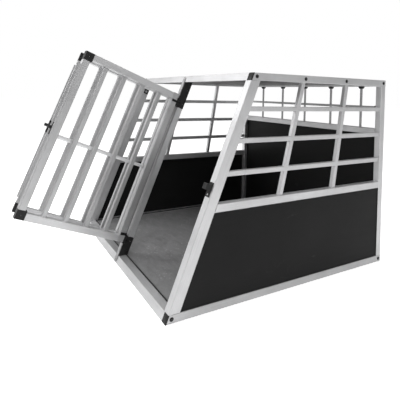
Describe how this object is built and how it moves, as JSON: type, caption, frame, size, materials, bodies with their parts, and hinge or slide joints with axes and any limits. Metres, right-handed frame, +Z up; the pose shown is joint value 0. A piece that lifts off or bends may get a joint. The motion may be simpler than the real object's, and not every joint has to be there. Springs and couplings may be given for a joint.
{
  "type": "dog transport crate",
  "caption": "Aluminium-framed travelling dog crate with a raked front, black lower boards, bar grilles and a pair of barred doors standing open back to back on a centre post.",
  "frame": {"origin": "on the ground under the middle of the floor, at the centre of the underside of the floor brace", "axes": "+X to the right seen from the front, -Y out of the raked front, +Y to the back, +Z up"},
  "size_m": [0.905, 1.2555, 0.7689],
  "materials": {
    "aluminium_tube": "satin",
    "black_board": "smooth black laminate",
    "floor_mat": "grey textured laminate",
    "black_plastic": "matt moulded",
    "bolt_steel": "satin",
    "black_screw": "blackened"
  },
  "bodies": {
    "crate": {"back_board": "black_board", "back_board_rail": "aluminium_tube", "back_bottom_rail": "aluminium_tube", "back_grille": "aluminium_tube", "back_post_left": "aluminium_tube", "back_post_right": "aluminium_tube", "back_top_rail": "aluminium_tube", "bottom_rail_cap_left": "black_plastic", "bottom_rail_cap_right": "black_plastic", "centre_post": "aluminium_tube", "centre_strip": "aluminium_tube", "corner_screw_back_left": "black_screw", "corner_screw_back_right": "black_screw", "corner_screw_front_left": "black_screw", "corner_screw_front_right": "black_screw", "floor_board": "floor_mat", "floor_brace": "aluminium_tube", "front_bottom_rail": "aluminium_tube", "front_post_left": "aluminium_tube", "front_post_right": "aluminium_tube", "front_top_rail": "aluminium_tube", "hinge_block_bottom": "black_plastic", "hinge_block_top": "black_plastic", "keeper_left": "black_plastic", "keeper_right": "black_plastic", "roof_board": "black_board", "side_board_left": "black_board", "side_board_right": "black_board", "side_bottom_rail_left": "aluminium_tube", "side_bottom_rail_right": "aluminium_tube", "side_grille_left": "aluminium_tube", "side_grille_right": "aluminium_tube", "side_mid_rail_left": "aluminium_tube", "side_mid_rail_right": "aluminium_tube", "side_top_rail_left": "aluminium_tube", "side_top_rail_right": "aluminium_tube", "top_rail_cap_left": "black_plastic", "top_rail_cap_right": "black_plastic"},
    "door_right": {"door_bottom_rail_right": "aluminium_tube", "door_corner_bottom_right": "black_plastic", "door_corner_top_right": "black_plastic", "door_free_stile_right": "aluminium_tube", "door_grille_right": "aluminium_tube", "door_hinge_stile_right": "aluminium_tube", "door_top_rail_right": "aluminium_tube", "hinge_arm_bottom_right": "black_plastic", "hinge_arm_top_right": "black_plastic", "latch_plate_right": "black_plastic"},
    "door_left": {"door_bottom_rail_left": "aluminium_tube", "door_corner_bottom_left": "black_plastic", "door_corner_top_left": "black_plastic", "door_free_stile_left": "aluminium_tube", "door_grille_left": "aluminium_tube", "door_hinge_stile_left": "aluminium_tube", "door_top_rail_left": "aluminium_tube", "hinge_arm_bottom_left": "black_plastic", "hinge_arm_top_left": "black_plastic", "latch_plate_left": "black_plastic"},
    "bolt_right": {"latch_bolt_right": "bolt_steel"},
    "bolt_left": {"latch_bolt_left": "bolt_steel"}
  },
  "joints": [
    {"name": "door_right_hinge", "type": "hinge", "parent": "crate", "child": "door_right", "pos_m": [0.0195, -0.32618, 0.34049], "axis": [0, 0.368, 0.9298], "range_deg": [-2.5, 87]},
    {"name": "latch_right_slide", "type": "slide", "parent": "door_right", "child": "bolt_right", "axis": [-0.0523, 0.9286, -0.3674], "range_m": [0, 0.0095], "stiffness_N_per_m": 300, "springref_m": -0.004},
    {"name": "door_left_hinge", "type": "hinge", "parent": "crate", "child": "door_left", "pos_m": [-0.0195, -0.32618, 0.34049], "axis": [0, 0.368, 0.9298], "range_deg": [-85, 4.5]},
    {"name": "latch_left_slide", "type": "slide", "parent": "door_left", "child": "bolt_left", "axis": [0.0872, 0.9263, -0.3666], "range_m": [0, 0.0095], "stiffness_N_per_m": 300, "springref_m": -0.004}
  ]
}
